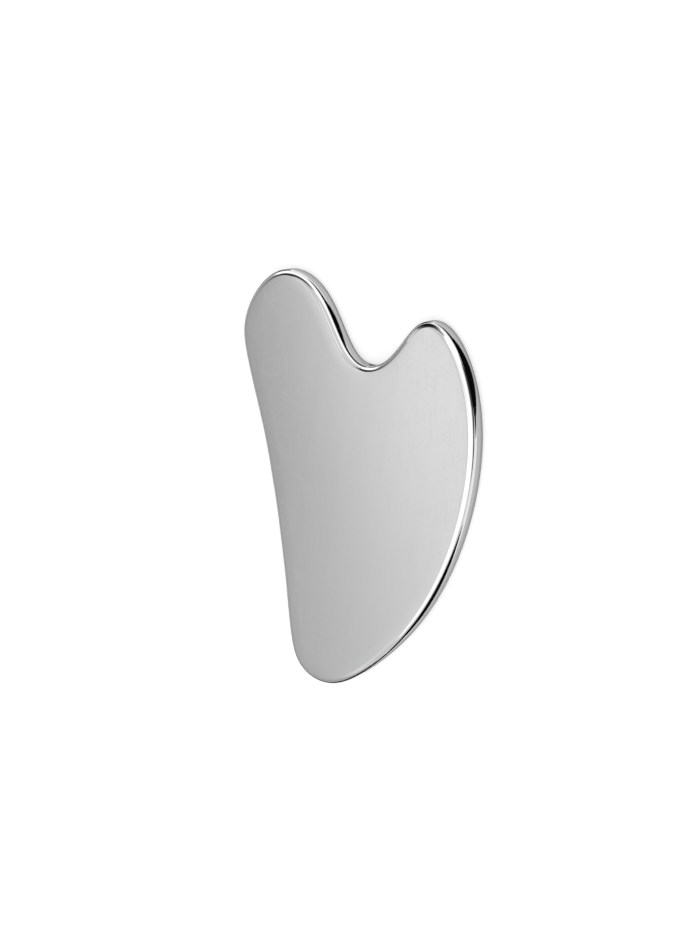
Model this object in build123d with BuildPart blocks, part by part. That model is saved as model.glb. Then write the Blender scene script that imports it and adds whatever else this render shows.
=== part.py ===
from build123d import *
import os

# Gua sha scraper: one plate of polished stainless steel, with the outline of an uneven heart
# that has a large lobe, a small lobe, a notch between them and one long blunt tip.
#
# The plate lies on its back face. X runs across it, towards the full round side, Y runs along
# it, towards the two lobes, and Z is up. The origin is on the table, under the middle of the
# plate's bounding box. Sizes are in millimetres.

# Overall size
LENGTH = 90.0
WIDTH = 55.0
THICKNESS = 4.5

# Rounding of both rims, which leaves a flat band around the middle of the edge
EDGE_RADIUS = 1.3

# Lobe end. A drop is measured down from the top of the large lobe. The large lobe's inset is
# measured from the left side, and the insets of the notch and the small lobe from the right.
# A radius is that of the circle that hugs the outline at the place.
LARGE_LOBE_INSET = 13.2
LARGE_LOBE_RADIUS = 7.8
SHOULDER_DROP = 14.8
SHOULDER_RADIUS = 47.0
NOTCH_INSET = 22.8
NOTCH_DROP = 22.0
NOTCH_RADIUS = 6.7
SMALL_LOBE_INSET = 8.2
SMALL_LOBE_DROP = 14.4
SMALL_LOBE_RADIUS = 4.6
FLANK_CREST_DROP = 31.6
FLANK_RADIUS = 37.0

# Tip end. The inset is measured from the left side, and the rise up from the lowest point.
TIP_INSET = 9.0
TIP_END_RADIUS = 10.1
TIP_SIDE_RISE = 10.0
TIP_SIDE_RADIUS = 46.0

# The long hollow side, scooped in from the line across the shoulder and the tip
HOLLOW_DEPTH = 1.7
HOLLOW_RADIUS = 93.0

LEFT = -WIDTH / 2
RIGHT = WIDTH / 2
TOP = LENGTH / 2
BOTTOM = -LENGTH / 2
SHOULDER_Y = TOP - SHOULDER_DROP
TIP_SIDE_Y = BOTTOM + TIP_SIDE_RISE
HOLLOW_Y = (SHOULDER_Y + TIP_SIDE_Y) / 2

# The places where the outline runs level or upright, clockwise from the large lobe. Each has
# the way that the outline runs through it, and its bend, which is one over its radius and
# negative where the outline is hollow. The outermost four keep the bounding box exact.
RIGHTWARD = Vector(1, 0)
LEFTWARD = Vector(-1, 0)
UPWARD = Vector(0, 1)
DOWNWARD = Vector(0, -1)

large_lobe_top = (Vector(LEFT + LARGE_LOBE_INSET, TOP), RIGHTWARD, 1 / LARGE_LOBE_RADIUS)
notch_floor = (Vector(RIGHT - NOTCH_INSET, TOP - NOTCH_DROP), RIGHTWARD, -1 / NOTCH_RADIUS)
small_lobe_top = (
    Vector(RIGHT - SMALL_LOBE_INSET, TOP - SMALL_LOBE_DROP),
    RIGHTWARD,
    1 / SMALL_LOBE_RADIUS,
)
flank_crest = (Vector(RIGHT, TOP - FLANK_CREST_DROP), DOWNWARD, 1 / FLANK_RADIUS)
tip_end = (Vector(LEFT + TIP_INSET, BOTTOM), LEFTWARD, 1 / TIP_END_RADIUS)
tip_side = (Vector(LEFT, TIP_SIDE_Y), UPWARD, 1 / TIP_SIDE_RADIUS)
hollow = (Vector(LEFT + HOLLOW_DEPTH, HOLLOW_Y), UPWARD, -1 / HOLLOW_RADIUS)
shoulder = (Vector(LEFT, SHOULDER_Y), UPWARD, 1 / SHOULDER_RADIUS)

# Each stretch of the outline between two such places, with how far each of them holds on to
# its own direction: a share of the distance to the other one. More is fuller.
STRETCHES = [
    (large_lobe_top, 0.60, notch_floor, 0.40),
    (notch_floor, 0.43, small_lobe_top, 0.28),
    (small_lobe_top, 0.49, flank_crest, 0.58),
    (flank_crest, 0.74, tip_end, 0.37),
    (tip_end, 0.72, tip_side, 0.41),
    (tip_side, 0.38, hollow, 0.43),
    (hollow, 0.20, shoulder, 0.48),
    (shoulder, 0.36, large_lobe_top, 0.62),
]


def guides(place, way, bend, reach, other_place):
    """The first two guide points of a stretch that leaves a place along way.

    The stretch is a curve of the fifth degree. Its first guide point sets its direction at the
    place. Its second stands off sideways by 5/4 of bend times the step squared, which gives it
    that bend there, so two stretches that meet run on into each other with no break.
    """
    step = 3 / 5 * reach * abs((other_place - place).dot(way))
    inward = way.rotate(Axis.Z, -90)
    first = place + way * step
    second = place + way * (2 * step) + inward * (5 / 4 * bend * step**2)
    return first, second


# The plate: one outline, raised to its thickness, with both rims rounded all the way along
with BuildPart() as scraper_plate:
    with BuildSketch(Plane.XY):
        with BuildLine():
            for (start, way_out, bend_out), reach_out, (end, way_in, bend_in), reach_in in STRETCHES:
                out_1, out_2 = guides(start, way_out, bend_out, reach_out, end)
                # Seen from its end, a stretch runs backwards and turns the other way
                in_1, in_2 = guides(end, -way_in, -bend_in, reach_in, start)
                Bezier(start, out_1, out_2, in_2, in_1, end)
        make_face()
    extrude(amount=THICKNESS)
    rims = scraper_plate.faces().filter_by(Axis.Z).edges()
    fillet(rims, radius=EDGE_RADIUS)

scraper_plate.part.label = "scraper_plate"
os.makedirs("parts", exist_ok=True)
export_step(scraper_plate.part, "parts/scraper_plate.step")
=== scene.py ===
import math

import bpy
import bmesh
import numpy as np
from mathutils import Matrix, Vector


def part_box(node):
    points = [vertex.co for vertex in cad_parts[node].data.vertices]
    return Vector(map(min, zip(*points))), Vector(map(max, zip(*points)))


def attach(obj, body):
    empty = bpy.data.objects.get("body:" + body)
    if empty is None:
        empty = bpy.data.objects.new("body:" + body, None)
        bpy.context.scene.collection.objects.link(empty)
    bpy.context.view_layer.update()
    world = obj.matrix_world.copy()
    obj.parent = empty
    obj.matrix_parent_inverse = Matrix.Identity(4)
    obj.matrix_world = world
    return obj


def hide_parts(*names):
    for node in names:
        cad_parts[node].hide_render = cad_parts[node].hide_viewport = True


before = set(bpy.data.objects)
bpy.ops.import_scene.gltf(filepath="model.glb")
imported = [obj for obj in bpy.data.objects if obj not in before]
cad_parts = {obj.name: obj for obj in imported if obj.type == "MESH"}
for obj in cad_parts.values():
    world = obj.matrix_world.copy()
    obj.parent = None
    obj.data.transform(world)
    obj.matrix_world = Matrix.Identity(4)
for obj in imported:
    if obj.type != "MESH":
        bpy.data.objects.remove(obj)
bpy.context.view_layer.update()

MM = 0.001

# ---------------------------------------------------------------------------------------------
# Camera: looks down on the full round side, with the lobes up and the tip down
# ---------------------------------------------------------------------------------------------
LENS_MM = 57.6
SENSOR_MM = 36.0
CAMERA_AIM = Vector((-7.76, 2.07, 2.25)) * MM
CAMERA_DISTANCE = 315.8 * MM
CAMERA_AZIMUTH = math.radians(11.82)
CAMERA_ELEVATION = math.radians(52.0)
CAMERA_ROLL = math.radians(-108.0)


def add_camera():
    data = bpy.data.cameras.new("studio_camera")
    data.lens = LENS_MM
    data.sensor_fit = "VERTICAL"
    data.sensor_height = SENSOR_MM
    data.clip_start = 1 * MM
    camera = bpy.data.objects.new("studio_camera", data)
    bpy.context.scene.collection.objects.link(camera)
    back = Vector((
        math.cos(CAMERA_ELEVATION) * math.cos(CAMERA_AZIMUTH),
        math.cos(CAMERA_ELEVATION) * math.sin(CAMERA_AZIMUTH),
        math.sin(CAMERA_ELEVATION),
    ))
    turn = Matrix.Rotation(CAMERA_ROLL, 4, back) @ back.to_track_quat("Z", "Y").to_matrix().to_4x4()
    camera.matrix_world = Matrix.Translation(CAMERA_AIM + back * CAMERA_DISTANCE) @ turn
    bpy.context.scene.camera = camera


add_camera()

# ---------------------------------------------------------------------------------------------
# Plate
# ---------------------------------------------------------------------------------------------
EDGE_RADIUS = 1.3 * MM
EDGE_STEPS = 14
OUTLINE_POINTS = 720
ROLL_OFF_WIDTH = 2.4 * MM
ROLL_OFF_DROP = 0.02 * MM
ROLL_OFF_STEPS = 8
# A place inside the plate from which every part of its outline can be seen
OUTLINE_HUB = Vector((-5.0, 0.0)) * MM


def outline_from_node(node):
    """The outline of the plate's upright edge, evenly spaced and in order round the hub."""
    low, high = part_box(node)
    level = high.z - EDGE_RADIUS
    found = {
        (round(v.co.x, 8), round(v.co.y, 8))
        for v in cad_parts[node].data.vertices
        if abs(v.co.z - level) < 1e-6
    }
    places = np.array(sorted(found, key=lambda p: math.atan2(p[1] - OUTLINE_HUB.y, p[0] - OUTLINE_HUB.x)))
    return smooth_closed_line(places, OUTLINE_POINTS)


def smooth_closed_line(places, count):
    """A closed cubic spline through the places, sampled at even steps along its length."""
    n = len(places)
    gap = np.linalg.norm(np.roll(places, -1, 0) - places, axis=1)
    before = np.roll(gap, 1)
    system = np.zeros((n, n))
    index = np.arange(n)
    system[index, index] = 2 * (gap + before)
    system[index, (index + 1) % n] = gap
    system[index, (index - 1) % n] = before
    rise = (np.roll(places, -1, 0) - places) / gap[:, None]
    bend = np.linalg.solve(system, 6 * (rise - np.roll(rise, 1, 0)))
    next_place, next_bend = np.roll(places, -1, 0), np.roll(bend, -1, 0)

    def at(distance):
        edges = np.concatenate([[0], np.cumsum(gap)])
        span = np.clip(np.searchsorted(edges, distance, side="right") - 1, 0, n - 1)
        h = gap[span][:, None]
        s = (distance - edges[span])[:, None]
        r = h - s
        return (
            bend[span] * r**3 / (6 * h)
            + next_bend[span] * s**3 / (6 * h)
            + (places[span] / h - bend[span] * h / 6) * r
            + (next_place[span] / h - next_bend[span] * h / 6) * s
        )

    fine = np.linspace(0, gap.sum(), 8 * count + 1)
    line = at(fine)
    travelled = np.concatenate([[0], np.cumsum(np.linalg.norm(np.diff(line, axis=0), axis=1))])
    even = np.linspace(0, travelled[-1], count, endpoint=False)
    return at(np.interp(even, travelled, fine))


def deselect_all():
    if bpy.context.object and bpy.context.object.mode != "OBJECT":
        bpy.ops.object.mode_set(mode="OBJECT")
    bpy.ops.object.select_all(action="DESELECT")


def select_faces(obj, wanted):
    """In edit mode, selects only the faces for which wanted(face) is true."""
    bpy.ops.mesh.select_mode(type="FACE")
    bpy.ops.mesh.select_all(action="DESELECT")
    mesh = bmesh.from_edit_mesh(obj.data)
    for face in mesh.faces:
        if wanted(face):
            face.select_set(True)
    bmesh.update_edit_mesh(obj.data)


def select_edges(obj, wanted):
    """In edit mode, selects only the edges for which wanted(edge) is true."""
    bpy.ops.mesh.select_mode(type="EDGE")
    bpy.ops.mesh.select_all(action="DESELECT")
    mesh = bmesh.from_edit_mesh(obj.data)
    for edge in mesh.edges:
        if wanted(edge):
            edge.select_set(True)
    bmesh.update_edit_mesh(obj.data)


def make_plate():
    low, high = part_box("scraper_plate")
    outline = outline_from_node("scraper_plate")
    bottom = low.z + ROLL_OFF_DROP
    height = high.z - low.z - 2 * ROLL_OFF_DROP
    deselect_all()
    bpy.ops.mesh.primitive_circle_add(vertices=len(outline), radius=25 * MM, fill_type="NGON")
    plate = bpy.context.object
    plate.name = plate.data.name = "polished_plate"
    for vertex, (x, y) in zip(plate.data.vertices, outline):
        vertex.co = (x, y, bottom)
    bpy.ops.object.mode_set(mode="EDIT")
    bpy.ops.mesh.select_all(action="SELECT")
    bpy.ops.mesh.extrude_region_move(TRANSFORM_OT_translate={"value": (0, 0, height)})
    bpy.ops.mesh.select_all(action="SELECT")
    bpy.ops.mesh.normals_make_consistent(inside=False)
    select_edges(plate, lambda edge: abs(edge.verts[0].co.z - edge.verts[1].co.z) < 1e-7)
    bpy.ops.mesh.bevel(
        offset_type="OFFSET", offset=EDGE_RADIUS, segments=EDGE_STEPS, profile=0.5, clamp_overlap=False
    )
    # Both faces rise a hair towards the middle, as polishing leaves them lower beside the rim
    for side in (1, -1):
        select_faces(plate, lambda face: len(face.verts) == len(outline) and face.normal.z * side > 0.9)
        step = ROLL_OFF_WIDTH / ROLL_OFF_STEPS
        for k in range(ROLL_OFF_STEPS):
            here = ((ROLL_OFF_STEPS - k) / ROLL_OFF_STEPS) ** 2
            after = ((ROLL_OFF_STEPS - k - 1) / ROLL_OFF_STEPS) ** 2
            bpy.ops.mesh.inset(thickness=step, depth=0, use_even_offset=True)
            bpy.ops.transform.translate(value=(0, 0, side * ROLL_OFF_DROP * (here - after)))
    bpy.ops.object.mode_set(mode="OBJECT")
    bpy.ops.object.shade_smooth()
    return plate


plate = make_plate()
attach(plate, "root")
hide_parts("scraper_plate")


# ---------------------------------------------------------------------------------------------
# Node helpers
# ---------------------------------------------------------------------------------------------
def math_node(tree, operation, first, second=None):
    node = tree.nodes.new("ShaderNodeMath")
    node.operation = operation
    for socket, value in zip(node.inputs, (first, second)):
        if value is None:
            continue
        if isinstance(value, (int, float)):
            socket.default_value = value
        else:
            tree.links.new(value, socket)
    return node.outputs[0]


def edge_node(tree, value, start, end):
    """0 before start, 1 past end, with a soft edge between them."""
    node = tree.nodes.new("ShaderNodeMapRange")
    node.interpolation_type = "SMOOTHSTEP"
    node.inputs["From Min"].default_value = min(start, end)
    node.inputs["From Max"].default_value = max(start, end)
    node.inputs["To Min"].default_value = 0 if start < end else 1
    node.inputs["To Max"].default_value = 1 if start < end else 0
    tree.links.new(value, node.inputs["Value"])
    return node.outputs["Result"]


def mix_node(tree, factor, first, second):
    node = tree.nodes.new("ShaderNodeMix")
    for socket, value in zip((node.inputs[0], node.inputs[2], node.inputs[3]), (factor, first, second)):
        if isinstance(value, (int, float)):
            socket.default_value = value
        else:
            tree.links.new(value, socket)
    return node.outputs[0]


def tilted(tree, across, along, slope):
    """across + slope * along"""
    return math_node(tree, "ADD", across, math_node(tree, "MULTIPLY", along, slope))


def all_of(tree, *shares):
    """The product of several values from 0 to 1."""
    product = shares[0]
    for share in shares[1:]:
        product = math_node(tree, "MULTIPLY", product, share)
    return product


def blend(tree, first, first_share, second):
    """first and second added up, first by its share and second by the rest."""
    return math_node(
        tree,
        "ADD",
        math_node(tree, "MULTIPLY", first, first_share),
        math_node(tree, "MULTIPLY", second, 1 - first_share),
    )


# ---------------------------------------------------------------------------------------------
# Materials
# ---------------------------------------------------------------------------------------------
STEEL_COLOUR = (0.72, 0.72, 0.725)
STEEL_DARKER = (0.708, 0.709, 0.716)
STEEL_ROUGHNESS = (0.040, 0.075)
# Grain of each pattern along X, Y and Z
STREAK_SIZE = (2.4 * MM, 30 * MM, 5 * MM)
CLOUD_SIZE = (14 * MM, 20 * MM, 14 * MM)
GRAIN_SIZE = (0.25 * MM, 0.25 * MM, 0.25 * MM)
SCRATCH_SIZE = (0.12 * MM, 9 * MM, 0.5 * MM)
# Turns about Z, in degrees
STREAK_TURN = 18
SCRATCH_TURNS = (8, 63, 127)
SCRATCH_EXTRA_ROUGHNESS = 0.09
RELIEF_HEIGHT = 0.004 * MM
RELIEF_STRENGTH = 0.25


def steel_noise(nodes, links, place, stretch, turn, detail=3):
    """Noise with a grain that is stretch metres big along each axis, turned about Z."""
    turned = nodes.new("ShaderNodeMapping")
    turned.inputs["Rotation"].default_value = (0, 0, math.radians(turn))
    stretched = nodes.new("ShaderNodeMapping")
    stretched.inputs["Scale"].default_value = tuple(1 / size for size in stretch)
    noise = nodes.new("ShaderNodeTexNoise")
    noise.inputs["Scale"].default_value = 1
    noise.inputs["Detail"].default_value = detail
    links.new(place, turned.inputs["Vector"])
    links.new(turned.outputs["Vector"], stretched.inputs["Vector"])
    links.new(stretched.outputs["Vector"], noise.inputs["Vector"])
    return noise.outputs["Fac"]


def polished_steel():
    """Polished steel with faint lengthwise streaks, fine grain, cloudy wear and hair scratches."""
    material = bpy.data.materials.new("polished_steel")
    material.use_nodes = True
    tree = material.node_tree
    nodes, links = tree.nodes, tree.links
    shader = nodes["Principled BSDF"]
    shader.inputs["Metallic"].default_value = 1
    place = nodes.new("ShaderNodeTexCoord").outputs["Object"]
    streaks = steel_noise(nodes, links, place, STREAK_SIZE, STREAK_TURN)
    clouds = steel_noise(nodes, links, place, CLOUD_SIZE, 0)
    grain = steel_noise(nodes, links, place, GRAIN_SIZE, 0, detail=2)
    scratches = None
    for turn in SCRATCH_TURNS:
        hairs = steel_noise(nodes, links, place, SCRATCH_SIZE, turn, detail=1)
        thin = edge_node(tree, hairs, 0.66, 0.74)
        scratches = thin if scratches is None else math_node(tree, "MAXIMUM", scratches, thin)
    # Colour: streaks and clouds between two nearly equal steels
    shade = blend(tree, streaks, 0.6, clouds)
    colour = nodes.new("ShaderNodeMix")
    colour.data_type = "RGBA"
    colour.inputs[6].default_value = (*STEEL_DARKER, 1)
    colour.inputs[7].default_value = (*STEEL_COLOUR, 1)
    links.new(edge_node(tree, shade, 0.32, 0.62), colour.inputs[0])
    links.new(colour.outputs[2], shader.inputs["Base Color"])
    # Roughness: clouds and grain, rougher in the scratches
    wear = blend(tree, clouds, 0.7, grain)
    rough = mix_node(tree, edge_node(tree, wear, 0.35, 0.65), *STEEL_ROUGHNESS)
    rough = tilted(tree, rough, scratches, SCRATCH_EXTRA_ROUGHNESS)
    links.new(rough, shader.inputs["Roughness"])
    # Relief: grain and scratches, about a micrometre deep
    relief = math_node(tree, "SUBTRACT", math_node(tree, "MULTIPLY", grain, 0.5), scratches)
    bump = nodes.new("ShaderNodeBump")
    bump.inputs["Strength"].default_value = RELIEF_STRENGTH
    bump.inputs["Distance"].default_value = RELIEF_HEIGHT
    links.new(relief, bump.inputs["Height"])
    links.new(bump.outputs["Normal"], shader.inputs["Normal"])
    return material


plate.data.materials.append(polished_steel())

# ---------------------------------------------------------------------------------------------
# Studio: floor, surroundings and flags
# ---------------------------------------------------------------------------------------------
FLOOR_SIZE = 4
FLOOR_COLOUR = (0.62, 0.62, 0.62)
FLOOR_GLOW = 0.48


def add_floor():
    bpy.ops.mesh.primitive_plane_add(size=FLOOR_SIZE)
    floor = bpy.context.object
    floor.name = "floor"
    material = bpy.data.materials.new("floor_white")
    material.use_nodes = True
    tree = material.node_tree
    shader = tree.nodes["Principled BSDF"]
    shader.inputs["Base Color"].default_value = (*FLOOR_COLOUR, 1)
    shader.inputs["Roughness"].default_value = 1
    shader.inputs["Specular IOR Level"].default_value = 0
    shader.inputs["Emission Color"].default_value = (1, 1, 1, 1)
    path = tree.nodes.new("ShaderNodeLightPath").outputs
    seen = math_node(tree, "MAXIMUM", path["Is Camera Ray"], path["Is Glossy Ray"])
    seen = math_node(tree, "MAXIMUM", seen, path["Is Transmission Ray"])
    glow = math_node(tree, "MULTIPLY", seen, FLOOR_GLOW)
    tree.links.new(glow, shader.inputs["Emission Strength"])
    floor.data.materials.append(material)


add_floor()

# Light round the plate by direction. "across" is how far a direction leans to +X for each unit
# that it climbs, and "along" how far it leans to +Y. A panel on the -X side brightens from its
# dark level to its bright one as directions steepen, and less so beside the tip than beside the
# lobes. Levels are in the order far, dark, bright, rest.
LOBE_PANEL = (0.42, 0.50, 1.00, 0.78)
LOBE_PANEL_FADE = (-0.88, -0.64)
TIP_PANEL = (0.45, 0.55, 0.95, 0.78)
TIP_PANEL_FADE = (-0.90, -0.60)
FAR_FADE = (-1.4, -0.90)
REST_FADE = (-0.64, -0.48)
TIP_ALONG = -0.28
LOBES_ALONG = -0.10
OVERHEAD_BRIGHTNESS = 1.5
ZENITH_BRIGHTNESS = 1.05
GAP_BRIGHTNESS = 0.04
HORIZON_BRIGHTNESS = 1.0


def panel_light(tree, across, levels, fade):
    """Brightness of the panel: far to dark to bright, and on to the rest."""
    far, dark, bright, rest = levels
    light = mix_node(tree, edge_node(tree, across, *FAR_FADE), far, dark)
    light = mix_node(tree, edge_node(tree, across, *fade), light, bright)
    return mix_node(tree, edge_node(tree, across, *REST_FADE), light, rest)


def add_surroundings():
    world = bpy.data.worlds.new("studio")
    bpy.context.scene.world = world
    world.use_nodes = True
    tree = world.node_tree
    direction = tree.nodes.new("ShaderNodeTexCoord").outputs["Generated"]
    split = tree.nodes.new("ShaderNodeSeparateXYZ")
    tree.links.new(direction, split.inputs[0])
    to_x, to_y, to_z = split.outputs
    climb = math_node(tree, "MAXIMUM", to_z, 0.02)
    across = math_node(tree, "DIVIDE", to_x, climb)
    along = math_node(tree, "DIVIDE", to_y, climb)
    by_lobes = panel_light(tree, across, LOBE_PANEL, LOBE_PANEL_FADE)
    by_tip = panel_light(tree, across, TIP_PANEL, TIP_PANEL_FADE)
    light = mix_node(tree, edge_node(tree, along, TIP_ALONG, LOBES_ALONG), by_tip, by_lobes)
    # A second softbox low down past the lobes, and a dark gap between it and the panel
    low_box = all_of(
        tree,
        edge_node(tree, to_z, 0.56, 0.48),
        edge_node(tree, to_y, 0.22, 0.34),
        edge_node(tree, tilted(tree, to_x, to_y, 0.9), -0.28, -0.14),
    )
    light = mix_node(tree, low_box, light, OVERHEAD_BRIGHTNESS)
    gap = all_of(
        tree,
        edge_node(tree, to_z, 0.55, 0.61),
        edge_node(tree, to_z, 0.86, 0.80),
        edge_node(tree, to_y, 0.14, 0.22),
        edge_node(tree, to_x, 0.40, 0.10),
    )
    light = mix_node(tree, gap, light, GAP_BRIGHTNESS)
    # Overhead softbox, less bright straight above, so that the face isn't all white from the top
    slanted_side = tilted(tree, across, math_node(tree, "MINIMUM", along, -0.5), 0.25)
    slanted_end = tilted(tree, along, across, -1.1)
    overhead = all_of(
        tree,
        edge_node(tree, slanted_side, -0.60, -0.53),
        edge_node(tree, slanted_end, 0.36, 0.24),
        edge_node(tree, along, -1.6, -1.3),
        edge_node(tree, across, 1.6, 1.3),
    )
    zenith = edge_node(tree, to_z, 0.975, 0.999)
    overhead_light = mix_node(tree, zenith, OVERHEAD_BRIGHTNESS, ZENITH_BRIGHTNESS)
    light = mix_node(tree, overhead, light, overhead_light)
    # White just above the horizon, beyond the floor
    light = mix_node(tree, edge_node(tree, to_z, 0.09, 0.05), light, HORIZON_BRIGHTNESS)
    tree.links.new(light, tree.nodes["Background"].inputs["Strength"])
    tree.nodes["Background"].inputs["Color"].default_value = (1, 1, 1, 1)


add_surroundings()


def outline_from_lobe_top():
    """The outline clockwise seen from above, from the large lobe's top, and its outward sides."""
    line = outline_from_node("scraper_plate")
    line = np.roll(line, -int(np.argmax(line[:, 1])), 0)
    if line[5, 0] < line[0, 0]:
        line = np.roll(line[::-1], 1, 0)
    ahead = np.roll(line, -1, 0) - np.roll(line, 1, 0)
    ahead /= np.linalg.norm(ahead, axis=1)[:, None]
    return line, np.stack([-ahead[:, 1], ahead[:, 0]], 1)


def only_in_reflections(name, verts, faces, brightness):
    """A card that only reflections show. It is part of the stage, not of the object."""
    mesh = bpy.data.meshes.new(name)
    mesh.from_pydata(verts, [], faces)
    card = bpy.data.objects.new(name, mesh)
    bpy.context.scene.collection.objects.link(card)
    material = bpy.data.materials.new(name)
    material.use_nodes = True
    shader = material.node_tree.nodes["Principled BSDF"]
    shader.inputs["Base Color"].default_value = (0, 0, 0, 1)
    shader.inputs["Specular IOR Level"].default_value = 0
    shader.inputs["Emission Color"].default_value = (1, 1, 1, 1)
    shader.inputs["Emission Strength"].default_value = brightness
    mesh.materials.append(material)
    card.visible_camera = False
    card.visible_diffuse = False
    card.visible_shadow = False
    card.visible_transmission = False


FLAG_BLACK = 0.003
FLAG_STEPS = 80


def add_flag(name, start, end, low, high, meet=0.5, brightness=FLAG_BLACK, sharpness=1.0):
    """A strip that stands beside a stretch of the outline and gives the rim a line there. start
    and end are shares of the way round, from the lobe's top. low and high are how far out and how
    high its two edges are in the middle, in mm. They meet at the ends, at the share meet of the
    way from low to high. A low sharpness keeps the strip wide nearly to its ends."""
    line, outward = outline_from_lobe_top()
    share = np.linspace(start, end, FLAG_STEPS)
    at = np.round(share * len(line)).astype(int) % len(line)
    swell = np.sin(np.linspace(0, np.pi, FLAG_STEPS)) ** sharpness
    verts = []
    for k in range(FLAG_STEPS):
        for edge, other, part in ((low, high, meet), (high, low, 1 - meet)):
            out = edge[0] + (other[0] - edge[0]) * part * (1 - swell[k])
            rise = edge[1] + (other[1] - edge[1]) * part * (1 - swell[k])
            place = line[at[k]] + outward[at[k]] * out * MM
            verts.append((place[0], place[1], rise * MM))
    faces = [(2 * k, 2 * k + 2, 2 * k + 3, 2 * k + 1) for k in range(FLAG_STEPS - 1)]
    only_in_reflections(name, verts, faces, brightness)


def add_apron(name, start_mm, end_mm, brightness, side=0):
    """A card on the floor close round the plate, that its upright edge mirrors. With side given,
    it widens from nothing on that side only."""
    line, outward = outline_from_lobe_top()
    reach = end_mm - start_mm
    if side:
        reach = reach * np.clip(outward[:, 0] * side * 1.8, 0, 1)
    inner = line + outward * start_mm * MM
    outer = inner + outward * (np.ones(len(line)) * reach * MM)[:, None]
    count = len(line)
    level = (0.06 if side else 0.04) * MM
    verts = [(x, y, level) for x, y in inner] + [(x, y, level) for x, y in outer]
    faces = [(k, (k + 1) % count, count + (k + 1) % count, count + k) for k in range(count)]
    only_in_reflections(name, verts, faces, brightness)


# Grey cards on the floor close round the plate, seen only in reflections: painted shadow of the plate on
# the floor, darkest at its foot and lighter outwards, which the upright edge mirrors.
add_apron("painted_shadow_foot", -2.0, 0.30, 0.13)
add_apron("painted_shadow_inner", 0.30, 1.0, 0.50)
add_apron("painted_shadow_outer", 1.0, 2.1, 0.66)
add_apron("apron_far", 2.2, 30.0, 0.07, side=-1)
add_flag("flag_lobe", 0.022, 0.118, (1.7, 0.1), (6, 3.0), meet=0.45)
add_flag("shade_lobe", 0.025, 0.124, (8, 9), (1.5, 25), brightness=0.84, sharpness=0.3)
add_flag("flag_small_lobe", 0.170, 0.206, (4, 4.2), (4, 8.4), meet=0.35)
add_flag("flag_flank", 0.196, 0.306, (1.0, 0.1), (6, 3.0), meet=0.5, sharpness=0.6)
add_flag("flag_flank_upper", 0.228, 0.305, (6, 2.6), (6, 6.6), meet=0.3, brightness=0.07)
add_flag("flag_flank_line", 0.265, 0.350, (6.2, 4.2), (6.2, 6.6))
add_flag("flag_tip", 0.378, 0.535, (2.3, 0.1), (6, 7.0), meet=0.47)
add_flag("flag_tip_line", 0.500, 0.700, (2.0, 0.1), (6, 4.2), meet=0.4, sharpness=0.6)

bpy.context.scene.view_settings.view_transform = "Standard"
